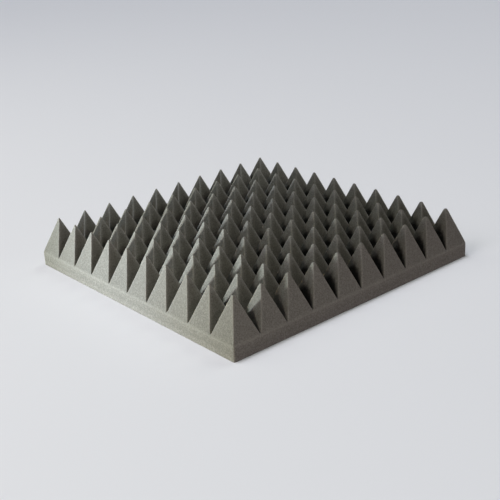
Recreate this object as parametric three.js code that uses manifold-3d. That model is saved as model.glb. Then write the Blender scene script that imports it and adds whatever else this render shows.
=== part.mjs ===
// Acoustic foam panel: one square slab of open-cell polyurethane foam whose front is a field of
// four-sided pyramids. It lies on its flat back with the tips up.
// Millimetres. The origin is the middle of the back face, and +Z points out of the front of the panel.

import * as THREE from 'three';
import { mergeVertices } from 'three/addons/utils/BufferGeometryUtils.js';
import Module from 'manifold-3d';

// Driving dimensions

// The pyramids stand shoulder to shoulder, so the pitch is also the width of one pyramid's foot.
const pitch = 60;
const pyramidsAcross = 10;
const pyramidsDeep = 10;

// Height of the straight side wall, from the back up to the crease where the outer slopes begin.
const wallHeight = 27;

// Height of a pyramid, from the crease to the top of its rounded tip.
const pyramidHeight = 73;

// Foam keeps no sharp edge: the cut and the mould leave each one rounded.
const tipRadius = 2.1;
const valleyRadius = 1.8;
const creaseRadius = 6;
const panelCornerRadius = 3.5;

// How far the sharp ridge between two slopes of a pyramid is planed down, measured upwards.
const ridgeDrop = 1.2;

// Every cutting solid runs past what it cuts by this much.
const overrun = 5;

// Steps of the rounded stretches
const tipSteps = 4;
const valleySteps = 3;
const creaseSteps = 2;
const cornerSteps = 2;

const wasm = await Module();
wasm.setup();

// A pyramid's slope starts at the crease and touches the circle that rounds its tip.
// The lean is the angle between the slope and the vertical.
const foot = pitch / 2;
const tipCentre = pyramidHeight - tipRadius;
const lean = Math.atan2(foot, tipCentre) - Math.asin(tipRadius / Math.hypot(foot, tipCentre));

// Height of the point where the slopes would meet if the tip were sharp, and of the rounded valleys
const sharpTip = wallHeight + foot / Math.tan(lean);
const valleyFloor = wallHeight + valleyRadius / Math.sin(lean) - valleyRadius;
const width = pitch * pyramidsAcross;
const depth = pitch * pyramidsDeep;

// Points of an arc, from one angle to the other.
function arc(centreX, centreZ, radius, startAngle, endAngle, steps) {
  const points = [];
  for (let step = 0; step <= steps; step += 1) {
    const angle = startAngle + ((endAngle - startAngle) * step) / steps;
    points.push(new THREE.Vector2(centreX + radius * Math.cos(angle), centreZ + radius * Math.sin(angle)));
  }
  return points;
}

// Side view of a row of pyramids: the flat back, the two walls, a rounded crease on each wall, and
// rounded teeth with a rounded valley after each but the last.
function rowOutline(count) {
  const half = (pitch * count) / 2;
  const outline = [new THREE.Vector2(half, 0)];

  // The crease's arc touches the wall and the outer slope.
  const creaseTangent = creaseRadius * Math.tan(lean / 2);
  const creaseZ = wallHeight - creaseTangent;
  outline.push(...arc(half - creaseRadius, creaseZ, creaseRadius, 0, lean, creaseSteps));

  const tipZ = wallHeight + tipCentre;
  const valleyZ = valleyFloor + valleyRadius;
  for (let tooth = 0; tooth < count; tooth += 1) {
    const tipX = half - (tooth + 0.5) * pitch;
    outline.push(...arc(tipX, tipZ, tipRadius, lean, Math.PI - lean, tipSteps));
    if (tooth < count - 1) {
      const valleyX = tipX - foot;
      outline.push(...arc(valleyX, valleyZ, valleyRadius, -lean, lean - Math.PI, valleySteps));
    }
  }

  outline.push(...arc(creaseRadius - half, creaseZ, creaseRadius, Math.PI - lean, Math.PI, creaseSteps));
  outline.push(new THREE.Vector2(-half, 0));
  return new THREE.Shape(outline);
}

// A three.js geometry as a solid that can be cut and joined.
function solidOf(geometry) {
  geometry.deleteAttribute('normal');
  geometry.deleteAttribute('uv');
  const merged = mergeVertices(geometry);
  return new wasm.Manifold(
    new wasm.Mesh({
      numProp: 3,
      vertProperties: new Float32Array(merged.attributes.position.array),
      triVerts: new Uint32Array(merged.index.array),
    }),
  );
}

// Ridges that run along Y, as wide as the panel.
function ridgesAlongY() {
  const length = depth + 2 * overrun;
  const geometry = new THREE.ExtrudeGeometry(rowOutline(pyramidsAcross), { depth: length, bevelEnabled: false });
  geometry.rotateX(Math.PI / 2);
  geometry.translate(0, length / 2, 0);
  return solidOf(geometry);
}

// Ridges that run along X, as deep as the panel.
function ridgesAlongX() {
  const length = width + 2 * overrun;
  const geometry = new THREE.ExtrudeGeometry(rowOutline(pyramidsDeep), { depth: length, bevelEnabled: false });
  geometry.rotateX(Math.PI / 2);
  geometry.rotateZ(Math.PI / 2);
  geometry.translate(-length / 2, 0, 0);
  return solidOf(geometry);
}

// What is left after the ridge between two slopes is planed: a slab up to the valley floor and, on each
// pyramid, a second pyramid turned by 45 degrees whose faces run through the ridges, a little below them.
// A plane through a ridge falls half as steeply along X and along Y as a slope does.
function planedField() {
  const slabGeometry = new THREE.BoxGeometry(width + 2 * overrun, depth + 2 * overrun, valleyFloor);
  slabGeometry.translate(0, 0, valleyFloor / 2);
  const parts = [solidOf(slabGeometry)];

  const turnedTip = sharpTip - ridgeDrop;
  const turnedRadius = 2 * turnedTip * Math.tan(lean);
  for (let column = 0; column < pyramidsAcross; column += 1) {
    for (let row = 0; row < pyramidsDeep; row += 1) {
      const geometry = new THREE.ConeGeometry(turnedRadius, turnedTip, 4);
      geometry.rotateX(Math.PI / 2);
      geometry.translate(
        (column + 0.5) * pitch - width / 2,
        (row + 0.5) * pitch - depth / 2,
        turnedTip / 2,
      );
      parts.push(solidOf(geometry));
    }
  }
  return wasm.Manifold.union(parts);
}

// The panel seen from the front: a rectangle with rounded corners.
function panelBlock() {
  const shape = new THREE.Shape();
  const x = width / 2 - panelCornerRadius;
  const y = depth / 2 - panelCornerRadius;
  shape.absarc(x, y, panelCornerRadius, 0, Math.PI / 2);
  shape.absarc(-x, y, panelCornerRadius, Math.PI / 2, Math.PI);
  shape.absarc(-x, -y, panelCornerRadius, Math.PI, 1.5 * Math.PI);
  shape.absarc(x, -y, panelCornerRadius, 1.5 * Math.PI, 2 * Math.PI);
  const geometry = new THREE.ExtrudeGeometry(shape, {
    depth: wallHeight + pyramidHeight + overrun,
    bevelEnabled: false,
    curveSegments: cornerSteps,
  });
  return solidOf(geometry);
}

function foamPanel() {
  const solid = ridgesAlongX().intersect(ridgesAlongY()).intersect(planedField()).intersect(panelBlock());
  const cut = solid.getMesh();
  const geometry = new THREE.BufferGeometry();
  geometry.setAttribute('position', new THREE.BufferAttribute(new Float32Array(cut.vertProperties), 3));
  geometry.setIndex(new THREE.BufferAttribute(new Uint32Array(cut.triVerts), 1));
  geometry.computeVertexNormals();

  const foam = new THREE.MeshStandardMaterial({ color: 0x8f9087, roughness: 1, metalness: 0 });
  const mesh = new THREE.Mesh(geometry, foam);
  mesh.name = 'foam_panel';
  return mesh;
}

const part = new THREE.Group();
part.add(foamPanel());

export default part;
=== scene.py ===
import math

import bmesh
import bpy
from mathutils import Matrix, Vector, noise

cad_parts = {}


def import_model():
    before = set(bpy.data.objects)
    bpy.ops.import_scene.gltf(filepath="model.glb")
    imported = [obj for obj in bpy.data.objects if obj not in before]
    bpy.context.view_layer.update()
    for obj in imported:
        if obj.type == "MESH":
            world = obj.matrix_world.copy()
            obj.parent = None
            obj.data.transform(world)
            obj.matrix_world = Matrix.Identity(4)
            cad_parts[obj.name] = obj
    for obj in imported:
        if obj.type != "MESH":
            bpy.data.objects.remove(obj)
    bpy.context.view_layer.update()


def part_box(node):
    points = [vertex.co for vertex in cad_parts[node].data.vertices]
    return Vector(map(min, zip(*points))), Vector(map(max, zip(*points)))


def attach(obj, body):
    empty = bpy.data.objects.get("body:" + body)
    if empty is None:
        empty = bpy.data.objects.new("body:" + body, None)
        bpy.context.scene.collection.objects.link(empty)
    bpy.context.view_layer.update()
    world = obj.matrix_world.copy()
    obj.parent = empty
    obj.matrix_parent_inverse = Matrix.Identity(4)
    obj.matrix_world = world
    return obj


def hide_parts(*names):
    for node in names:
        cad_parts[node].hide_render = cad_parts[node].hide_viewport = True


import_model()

MM = 0.001

# Sizes of the foam panel, in metres. The outer ones come from the model's foam panel.
low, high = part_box("foam_panel")
PYRAMIDS = 10
SIDE = high.x - low.x
PITCH = SIDE / PYRAMIDS
FOOT = PITCH / 2
HEIGHT = high.z
WALL = 27 * MM
VALLEY_RADIUS = 1.7 * MM
CREASE_RADIUS = 6 * MM
CORNER_RADIUS = 3.5 * MM

# The ridges are rounded by blending two slopes where their heights differ by less than this.
RIDGE_BLEND = 5 * MM

# The tips are rounded unevenly: sharp in the left back corner, blunt in the right front one. The radius
# is the one in the middle, with these added at the ends of X and Y.
TIP_RADIUS = 2.0 * MM
TIP_RADIUS_ALONG = (0.3 * MM, -0.9 * MM)
SHARPEST = 0.9 * MM

# No two cut pyramids are quite alike: along X and along Y, a tip stands off its middle by a noise times
# twice this, which comes to 0.9 mm at most. The noise is read at points this far apart for neighbours,
# on one level for X and on another for Y.
TIP_STRAY = 0.6 * MM
STRAY_STEP = 1.7
STRAY_LEVELS = (0.5, 40.5)

# The surface waves by this much at most, over this distance.
WAVE = 0.25 * MM
WAVE_LENGTH = 11 * MM

# Levels of the wall's rings of points, the first one close below the crease, and how close two points
# have to be to become one.
WALL_LEVELS = (WALL - 3 * MM, WALL / 2, 0)
SAME_POINT = 0.01 * MM

# How far the pale lines reach, which are partly rubbing and cutting and partly painted highlight: from a
# ridge, where they fade in over this height above the valley, down from a tip (between these depths), and
# from the crease, on points this close to the panel's sides. A ridge is paled by 1, and a tip and the
# crease by these shares of it.
RIDGE_REACH = 1.8 * MM
RIDGE_FADE = 4 * MM
TIP_DEPTHS = (8 * MM, 3 * MM)
CREASE_REACH = 2.8 * MM
RIM = 3 * MM
TIP_WEAR_AND_HIGHLIGHT = 0.5
CREASE_WEAR_AND_HIGHLIGHT = 0.6

# Painted shadow: a flank's foot is painted dark in an arch that stands in the groove, where the pyramid
# in front casts its shadow. Its top is this far from the groove's middle, its half width is this, and its
# edge is soft between these shares of its size. A bend of 1 would make the arch a triangle and 2 an
# ellipse. The painted shadow is this dark on flanks that face along X and along Y. Towards the left wall,
# where more light reaches the feet, between these two places along X, this share of the first goes.
DARK_UP = 14 * MM
DARK_ASIDE = 25 * MM
DARK_EDGE = (0.87, 1.09)
DARK_BEND = 1.5
DARKEST_X = 0.87
DARKEST_Y = 0.25
LIT_PLACES = (-110 * MM, -190 * MM)
LIT_SHARE = 0.95

# The knife-cut wall is this much darker than the slopes, with a soft step this far either side of its
# upper end.
WALL_DULL = 0.07
WALL_STEP = 1.5 * MM

# The foam's colour, and the widths of its cells, of a coarser grit and of the clouds that ageing leaves.
# Real cells are about 0.9 mm wide, less than a pixel, so they are drawn wider.
FOAM_GREY = "#95968d"
CELL = 2.4 * MM
GRIT = 3.2 * MM
CLOUD = 45 * MM

# How much lighter or darker the colour gets by each of them, how much lighter by the full pale line of
# wear and painted highlight, and how deep the relief of cells and grit is.
CELL_CONTRAST = 0.16
GRIT_CONTRAST = 0.13
CLOUD_CONTRAST = 0.03
WEAR_AND_HIGHLIGHT_CONTRAST = 0.4
RELIEF = 0.5 * MM

# The paper's colour as the camera sees it and as it throws light back at the foam, how far the paper
# reaches from the middle, and the room's colour.
PAPER_SEEN = "#e8e9ed"
PAPER_THROWN = "#a18b88"
PAPER_REACH = 6
ROOM = "#dcdde1"

# The photograph's camera: lens and film in millimetres, how many degrees it stands to the right of the
# front and up and is rolled, the point that it looks at, and how far it is from there, in metres.
LENS = 68.19
FILM = 36
CAMERA_TURNS = (-40.04, 22.056, -3.078)
LOOKS_AT = Vector((-24.15 * MM, -25.5 * MM, 36 * MM))
CAMERA_FAR = 1.8575

# The beams stand this far from the panel's middle and are this large. A far lamp only has a direction.
BEAM_FAR = 1.2
BEAM_RADIUS = 50 * MM
FAR = 3

# The blend lowers the very tip by a quarter of itself, so the teeth are made that much taller.
TOOTH_TOP = HEIGHT + RIDGE_BLEND / 4


def lean(tip_radius):
    """How far a flank leans from upright when the tooth has this radius at its tip."""
    rise = TOOTH_TOP - tip_radius - WALL
    return math.atan2(FOOT, rise) - math.asin(tip_radius / math.hypot(FOOT, rise))


LEAN = lean(TIP_RADIUS)
VALLEY_CENTRE = WALL + VALLEY_RADIUS / math.sin(LEAN)
VALLEY_FLOOR = VALLEY_CENTRE - VALLEY_RADIUS
CREASE_CENTRE = WALL - CREASE_RADIUS * math.tan(LEAN / 2)


def tooth(across, outer, tip):
    """Height of a row's tooth at a distance from its middle. An outer flank ends at the wall's crease.

    A tip is its radius and how far the flanks below it lean.
    """
    radius, slope = tip
    if across < radius * math.cos(slope):
        return TOOTH_TOP - radius + math.sqrt(radius**2 - across**2)
    if outer:
        into_crease = across - (FOOT - CREASE_RADIUS)
        if into_crease > CREASE_RADIUS * math.cos(LEAN):
            return CREASE_CENTRE + math.sqrt(max(CREASE_RADIUS**2 - into_crease**2, 0))
    elif FOOT - across < VALLEY_RADIUS * math.cos(LEAN):
        return VALLEY_CENTRE - math.sqrt(VALLEY_RADIUS**2 - (FOOT - across) ** 2)
    # The valleys and the crease are alike everywhere, and a flank runs straight from one to its tip.
    foot = FOOT - (CREASE_RADIUS * (1 - math.cos(LEAN)) if outer else VALLEY_RADIUS * math.cos(LEAN))
    top = radius * math.cos(slope)
    foot_height = WALL + (FOOT - foot) / math.tan(LEAN)
    top_height = TOOTH_TOP - radius + radius * math.sin(slope)
    return foot_height + (foot - across) / (foot - top) * (top_height - foot_height)


def blended(one, other):
    """The lower of two heights, with the ridge between them rounded."""
    near = max(RIDGE_BLEND - abs(one - other), 0) / RIDGE_BLEND
    return min(one, other) - near * near * RIDGE_BLEND / 4


# Rings of one pyramid, from its foot to its tip, and the points along half a side of a ring,
# counted from the ridge: close together where the surface bends.
RINGS = [FOOT - step * MM for step in (0, 0.15, 0.4, 0.9, 1.5, 2.2, 5, 8.5, 11, 13.5, 18, 23)]
RINGS += [step * MM for step in (4, 2.4, 1.6, 0.8, 0)]
FROM_RIDGE = [step * MM for step in (0, 0.7, 1.4, 2.2, 5.5, 10, 17.5, 30)]
HALF_SIDE = len(FROM_RIDGE) - 1
AROUND = 8 * HALF_SIDE


def ring_point(place, ring):
    """Where a point of a ring lies, seen from above, with the pyramid's middle at zero."""
    half = RINGS[ring]
    side, along = divmod(place, 2 * HALF_SIDE)
    from_corner = along if along <= HALF_SIDE else 2 * HALF_SIDE - along
    inset = min(FROM_RIDGE[from_corner], half * from_corner / HALF_SIDE)
    walked = inset - half if along <= HALF_SIDE else half - inset
    x, y = walked, -half
    for _ in range(side % 4):
        x, y = -y, x
    return x, y


def pyramid(bm, column, row, stray):
    """Adds one pyramid's surface: a grid wrapped round into rings, each point lifted to its height."""
    rings = len(RINGS) - 1
    grid = bmesh.ops.create_grid(bm, x_segments=AROUND, y_segments=rings, size=0.5)
    middle = Vector(((column + 0.5) * PITCH - SIDE / 2, (row + 0.5) * PITCH - SIDE / 2, 0))
    last = PYRAMIDS - 1
    drift = (TIP_RADIUS_ALONG[0] * middle.x + TIP_RADIUS_ALONG[1] * middle.y) / (SIDE / 2)
    radius = max(TIP_RADIUS + drift, SHARPEST)
    tip = radius, lean(radius)
    for vert in grid["verts"]:
        # The grid runs from -0.5 to 0.5: along X it counts the points of a ring, along Y the rings.
        place = round((vert.co.x + 0.5) * AROUND)
        ring = round((vert.co.y + 0.5) * rings)
        x, y = ring_point(place, ring)
        outer_x = (column == last and x > 0) or (column == 0 and x < 0)
        outer_y = (row == last and y > 0) or (row == 0 and y < 0)
        height = blended(tooth(abs(x), outer_x, tip), tooth(abs(y), outer_y, tip))
        up = max(height - VALLEY_FLOOR, 0) / (HEIGHT - VALLEY_FLOOR)
        vert.co = middle + Vector((x, y, height)) + stray * up * up


def round_corner(co):
    """Moves a point near one of the panel's four upright corners onto rounded ones."""
    start = SIDE / 2 - CORNER_RADIUS
    into_x, into_y = abs(co.x) - start, abs(co.y) - start
    if into_x > 0 and into_y > 0:
        nearer = max(into_x, into_y) / math.hypot(into_x, into_y)
        co.x = math.copysign(start + into_x * nearer, co.x)
        co.y = math.copysign(start + into_y * nearer, co.y)


def in_pitch(value):
    """How far a place along X or Y is from the middle of its pyramid."""
    return abs((value + SIDE / 2) % PITCH - FOOT)


def smooth(value, start, end):
    """0 up to the start, 1 from the end on, with a soft step between. The end may be the lower one."""
    share = min(max((value - start) / (end - start), 0), 1)
    return share * share * (3 - 2 * share)


def wear_and_highlight_share(co):
    """How pale a point is painted, partly for rubbing and cutting and partly as a painted highlight: 1 on
    a ridge, less on the tips and the crease.
    """
    on_ridge = math.exp(-(((in_pitch(co.x) - in_pitch(co.y)) / RIDGE_REACH) ** 2))
    on_tip = TIP_WEAR_AND_HIGHLIGHT * smooth(co.z, HEIGHT - TIP_DEPTHS[0], HEIGHT - TIP_DEPTHS[1])
    above_valley = min(max((co.z - VALLEY_FLOOR) / RIDGE_FADE, 0), 1)
    at_rim = max(abs(co.x), abs(co.y)) > SIDE / 2 - RIM
    on_crease = math.exp(-(((co.z - WALL) / CREASE_REACH) ** 2)) if at_rim else 0
    return max(on_ridge * above_valley, on_tip, CREASE_WEAR_AND_HIGHLIGHT * on_crease)


def painted_shade_and_dark_wall(co):
    """How much darker a point is painted, from 0 to 1: painted shade deep in a groove, and a darker
    knife-cut wall.

    The middle of a flank's foot is dark, and more so where the flank faces along X, as in the photograph.
    """
    from_middle = in_pitch(co.x), in_pitch(co.y)
    faces_x = from_middle[0] > from_middle[1]
    if abs(co.x if faces_x else co.y) > SIDE / 2 - FOOT:
        return WALL_DULL * (1 - smooth(co.z, WALL - WALL_STEP, WALL + WALL_STEP))
    up, aside = FOOT - max(from_middle), min(from_middle)
    out = ((up / DARK_UP) ** DARK_BEND + (aside / DARK_ASIDE) ** DARK_BEND) ** (1 / DARK_BEND)
    darkest = DARKEST_X * (1 - LIT_SHARE * smooth(co.x, *LIT_PLACES)) if faces_x else DARKEST_Y
    return darkest * (1 - smooth(out, *DARK_EDGE))


def foam_mesh():
    bm = bmesh.new()
    for column in range(PYRAMIDS):
        for row in range(PYRAMIDS):
            points = [Vector((column * STRAY_STEP, row * STRAY_STEP, level)) for level in STRAY_LEVELS]
            stray = Vector((noise.noise(points[0]), noise.noise(points[1]), 0)) * 2 * TIP_STRAY
            pyramid(bm, column, row, stray)
    bmesh.ops.remove_doubles(bm, verts=bm.verts, dist=SAME_POINT)

    # The wall goes down from the crease to the back.
    for vert in bm.verts:
        round_corner(vert.co)
    rim = [edge for edge in bm.edges if edge.is_boundary]
    for level in WALL_LEVELS:
        grown = bmesh.ops.extrude_edge_only(bm, edges=rim)["geom"]
        rim = [piece for piece in grown if isinstance(piece, bmesh.types.BMEdge)]
        for vert in (piece for piece in grown if isinstance(piece, bmesh.types.BMVert)):
            vert.co.z = level
    bmesh.ops.contextual_create(bm, geom=rim)
    bmesh.ops.recalc_face_normals(bm, faces=bm.faces)
    bm.normal_update()

    # The material reads these two: pale lines, partly wear and partly painted highlight, and painted
    # shadow deep in the grooves with a darker wall.
    wear_and_highlight = bm.verts.layers.float.new("wear_and_highlight")
    dark = bm.verts.layers.float.new("painted_shade_and_dark_wall")
    for vert in bm.verts:
        vert[wear_and_highlight] = wear_and_highlight_share(vert.co)
        vert[dark] = painted_shade_and_dark_wall(vert.co)

    # A slight wave keeps the slopes from being dead flat. It leaves the back flat and only goes inwards.
    for vert in bm.verts:
        fade = min(vert.co.z / WALL, 1)
        sunk = WAVE * (noise.noise(vert.co / WAVE_LENGTH) - 1) / 2
        vert.co += vert.normal * sunk * fade

    mesh = bpy.data.meshes.new("foam")
    bm.to_mesh(mesh)
    bm.free()
    return mesh


def srgb(code):
    """A colour written as sRGB hex, as linear red, green, blue and alpha."""
    channels = [int(code[at : at + 2], 16) / 255 for at in (1, 3, 5)]
    return [c / 12.92 if c <= 0.04045 else ((c + 0.055) / 1.055) ** 2.4 for c in channels] + [1]


def add(tree, kind, settings, links):
    """Adds a node, sets its properties and sockets, and links other nodes' outputs to its sockets."""
    node = tree.nodes.new(kind)
    for name, value in settings.items():
        if isinstance(name, str) and hasattr(node, name):
            setattr(node, name, value)
        else:
            node.inputs[name].default_value = value
    for name, output in links.items():
        tree.links.new(output, node.inputs[name])
    return node


def joined(tree, operation, one, other):
    """Two values made into one, by a sum, a product or the larger of the two."""
    return add(tree, "ShaderNodeMath", {"operation": operation}, {0: one, 1: other}).outputs[0]


def ranged(tree, value, given, wanted):
    """Maps a value from one range onto another, and past its ends as well."""
    ends = {"From Min": given[0], "From Max": given[1], "To Min": wanted[0], "To Max": wanted[1]}
    return add(tree, "ShaderNodeMapRange", {**ends, "clamp": False}, {"Value": value}).outputs["Result"]


def attribute(tree, name):
    return add(tree, "ShaderNodeAttribute", {"attribute_name": name}, {}).outputs["Fac"]


def texture(tree, kind, place, width, settings):
    """The output of a texture whose spots are this wide."""
    node = add(tree, kind, {"Scale": 1 / width, **settings}, {"Vector": place})
    return node.outputs["Distance" if "Voronoi" in kind else "Fac"]


def new_material(name):
    material = bpy.data.materials.new(name)
    material.use_nodes = True
    return material, material.node_tree, material.node_tree.nodes["Principled BSDF"]


def foam_material():
    """Open-cell polyurethane foam, contour cut.

    It gives the eye a matt, slightly olive grey with next to no gloss. The cut cells are a fine, even
    grain of open pores between paler struts. Along the ridges, on the tips and on the crease the colour
    is painted paler in thin lines, partly for rubbed struts and partly as a painted highlight. Deep in
    the grooves the flanks' feet carry painted shadow, and the wall is darker. Air and dust have turned it
    a little unevenly over some centimetres.
    """
    material, tree, shader = new_material("polyurethane foam")
    place = add(tree, "ShaderNodeTexCoord", {}, {}).outputs["Object"]
    noisy = "ShaderNodeTexNoise"
    cells = texture(tree, "ShaderNodeTexVoronoi", place, CELL, {"feature": "F1", "Randomness": 1.0})
    grit = texture(tree, noisy, place, GRIT, {"Detail": 3.0, "Roughness": 0.7})
    cloud = texture(tree, noisy, place, CLOUD, {"Detail": 2.0, "Roughness": 0.5})

    # Pores darken the colour and struts lighten it. The lightness is a factor around 1, and the given
    # ranges are the ones that each texture mostly keeps to.
    pore = ranged(tree, cells, (0.15, 0.75), (-CELL_CONTRAST, CELL_CONTRAST))
    grain = ranged(tree, grit, (0.3, 0.7), (1 - GRIT_CONTRAST, 1 + GRIT_CONTRAST))
    aged = ranged(tree, cloud, (0.3, 0.7), (-CLOUD_CONTRAST, CLOUD_CONTRAST))
    # Pale lines that are partly wear and partly painted highlight.
    wear_and_highlight = ranged(tree, attribute(tree, "wear_and_highlight"), (0, 1), (0, WEAR_AND_HIGHLIGHT_CONTRAST))
    # Painted shadow deep in the grooves, and the darker wall, take colour away.
    kept = ranged(tree, attribute(tree, "painted_shade_and_dark_wall"), (0, 1), (1, 0))
    light = grain
    for more in (pore, aged, wear_and_highlight):
        light = joined(tree, "ADD", light, more)
    light = joined(tree, "MULTIPLY", light, kept)
    grey = {"operation": "SCALE", 0: srgb(FOAM_GREY)[:3]}
    colour = add(tree, "ShaderNodeVectorMath", grey, {"Scale": light})
    tree.links.new(colour.outputs[0], shader.inputs["Base Color"])

    relief = joined(tree, "ADD", cells, grit)
    bump = add(tree, "ShaderNodeBump", {"Strength": 0.35, "Distance": RELIEF}, {"Height": relief})
    tree.links.new(bump.outputs["Normal"], shader.inputs["Normal"])
    shader.inputs["Roughness"].default_value = 0.95
    shader.inputs["Diffuse Roughness"].default_value = 1.0
    shader.inputs["IOR"].default_value = 1.5
    shader.inputs["Specular IOR Level"].default_value = 0.12
    return material


def foam_panel():
    piece = bpy.data.objects.new("foam", foam_mesh())
    bpy.context.scene.collection.objects.link(piece)
    # Only the back, which looks straight down, is shaded flat.
    for face in piece.data.polygons:
        face.use_smooth = face.normal.z > -0.9
    piece.data.materials.append(foam_material())
    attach(piece, "root")
    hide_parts("foam_panel")
    return piece


def camera():
    data = bpy.data.cameras.new("camera")
    data.lens = LENS
    data.sensor_width = FILM
    piece = bpy.data.objects.new("camera", data)
    azimuth, elevation, roll = (math.radians(turn) for turn in CAMERA_TURNS)
    flat = math.cos(elevation)
    back = Vector((math.sin(azimuth) * flat, -math.cos(azimuth) * flat, math.sin(elevation)))
    right = (-back).cross(Vector((0, 0, 1))).normalized()
    up = back.cross(right)
    turned_right = right * math.cos(roll) + up * math.sin(roll)
    turned_up = -right * math.sin(roll) + up * math.cos(roll)
    axes = Matrix((turned_right, turned_up, back)).transposed()
    piece.matrix_world = Matrix.Translation(LOOKS_AT + back * CAMERA_FAR) @ axes.to_4x4()
    bpy.context.scene.collection.objects.link(piece)
    bpy.context.scene.camera = piece


def seen_directly(tree):
    """1 for the rays that should meet the pale studio: the camera's own, mirrored and refracted ones."""
    ray = add(tree, "ShaderNodeLightPath", {}, {})
    seen = joined(tree, "MAXIMUM", ray.outputs["Is Camera Ray"], ray.outputs["Is Glossy Ray"])
    return joined(tree, "MAXIMUM", seen, ray.outputs["Is Transmission Ray"])


def floor():
    """Pale matt paper.

    The eye sees an almost white sheet with a soft shadow along the panel. What it throws back at the foam
    is kept as dim and warm as in the photograph, where the lowest slopes and grooves stay dark.
    """
    bm = bmesh.new()
    bmesh.ops.create_grid(bm, x_segments=1, y_segments=1, size=PAPER_REACH)
    mesh = bpy.data.meshes.new("floor")
    bm.to_mesh(mesh)
    bm.free()
    piece = bpy.data.objects.new("floor", mesh)
    bpy.context.scene.collection.objects.link(piece)
    material, tree, shader = new_material("matt paper")
    shader.inputs["Roughness"].default_value = 1.0
    shader.inputs["Specular IOR Level"].default_value = 0.0
    shade = add(tree, "ShaderNodeMix", {"data_type": "RGBA"}, {"Factor": seen_directly(tree)})
    shade.inputs["A"].default_value = srgb(PAPER_THROWN)
    shade.inputs["B"].default_value = srgb(PAPER_SEEN)
    tree.links.new(shade.outputs["Result"], shader.inputs["Base Color"])
    piece.data.materials.append(material)
    return piece


def world():
    """A pale room that is seen behind the floor's edge and gives no light of its own."""
    room = bpy.data.worlds.new("room")
    room.use_nodes = True
    tree = room.node_tree
    background = tree.nodes["Background"]
    background.inputs["Color"].default_value = srgb(ROOM)
    tree.links.new(seen_directly(tree), background.inputs["Strength"])
    bpy.context.scene.world = room


def direction(azimuth, elevation):
    """The way to a place, with the azimuth counted from +X towards +Y, in degrees."""
    turn, rise = math.radians(azimuth), math.radians(elevation)
    return Vector((math.cos(turn) * math.cos(rise), math.sin(turn) * math.cos(rise), math.sin(rise)))


def put_lamp(name, lit, kind, at, aim, energy, colour, settings):
    """Adds a lamp that lights one piece only. Every piece still casts its shadow."""
    data = bpy.data.lights.new(name, kind)
    for key, value in settings.items():
        setattr(data, key, value)
    data.energy = energy
    data.color = srgb(colour)[:3]
    piece = bpy.data.objects.new(name, data)
    piece.location = at
    piece.rotation_euler = (at - aim).to_track_quat("Z", "Y").to_euler()
    bpy.context.scene.collection.objects.link(piece)
    receivers = bpy.data.collections.new(name + " lights")
    receivers.objects.link(lit)
    piece.light_linking.receiver_collection = receivers


# A lamp's strength is how bright a white face that looks straight at it would be: for a beam where it
# aims, for a disk in the panel's middle, and for a far lamp everywhere. The energy follows from that,
# because a beam's watts spread over 4 pi, a disk's over pi, and a white face gives back 1 / pi.


def beam(name, azimuth, height, aim, half_angle, strength, colour):
    """A narrow low lamp at the left, turned to a place by the left wall, that fades out around it."""
    at = direction(azimuth, 0) * BEAM_FAR + Vector((0, 0, height))
    energy = strength * 4 * math.pi**2 * (at - aim).length_squared
    cone = {"spot_size": 2 * math.radians(half_angle), "spot_blend": 1}
    put_lamp(name, foam, "SPOT", at, aim, energy, colour, {**cone, "shadow_soft_size": BEAM_RADIUS})


def disk(name, lit, azimuth, height, far, radius, strength, colour):
    """A round lamp that faces the panel's middle."""
    at = direction(azimuth, 0) * far + Vector((0, 0, height))
    aim = Vector((0, 0, HEIGHT / 2))
    energy = strength * math.pi**2 * (at - aim).length_squared
    put_lamp(name, lit, "AREA", at, aim, energy, colour, {"shape": "DISK", "size": 2 * radius})


def far_lamp(name, lit, azimuth, elevation, wide, strength, colour):
    """A soft lamp so far off that it lights every place alike."""
    at = direction(azimuth, elevation) * FAR
    settings = {"angle": math.radians(wide)}
    put_lamp(name, lit, "SUN", at, Vector(), strength * math.pi, colour, settings)


camera()
foam = foam_panel()
ground = floor()
world()

above_wall = Vector((low.x, 0, 250 * MM))
front_end = Vector((low.x, -250 * MM, 60 * MM))
beam("key", 170, 40 * MM, above_wall, 26, 1.18, "#e1efff")
beam("key, higher", 167, 110 * MM, above_wall, 26, 0.502, "#f8e8ff")
beam("key, front end", 190, 60 * MM, front_end, 14, 0.09, "#ffe789")
disk("key, far", foam, 167, 45 * MM, 1.6, 72 * MM, 0.721, "#fbfff4")
disk("left", foam, 155, 290 * MM, 1.2, 100 * MM, 0.113, "#d6e6ff")
disk("above left", foam, 205, 650 * MM, 1.2, 30 * MM, 0.0688, "#fefff8")
disk("above left, higher", foam, 205, 900 * MM, 1.2, 30 * MM, 0.0564, "#ffe5dc")
far_lamp("front", foam, 270, 12, 14, 0.139, "#f8f4ff")
disk("right", foam, 0, 150 * MM, 1.3, 200 * MM, 0.65, "#ffffff")
far_lamp("back", foam, 60, 28, 14, 0.2, "#ffffff")
far_lamp("back right", foam, 30, 28, 14, 0.1, "#ffffff")

far_lamp("floor, above", ground, 120, 75, 30, 0.43, "#f1f5ff")
far_lamp("floor, left", ground, 180, 30, 30, 0.205, "#fdf6ff")
disk("floor, left, near", ground, 180, 3.06, 2.57, 1.5, 0.237, "#fffbeb")
disk("floor, back left, near", ground, 130, 3.06, 2.57, 1.5, 0.147, "#fffaed")
far_lamp("floor, right", ground, 0, 50, 30, 0.176, "#f9fff3")

bpy.context.scene.view_settings.view_transform = "Standard"
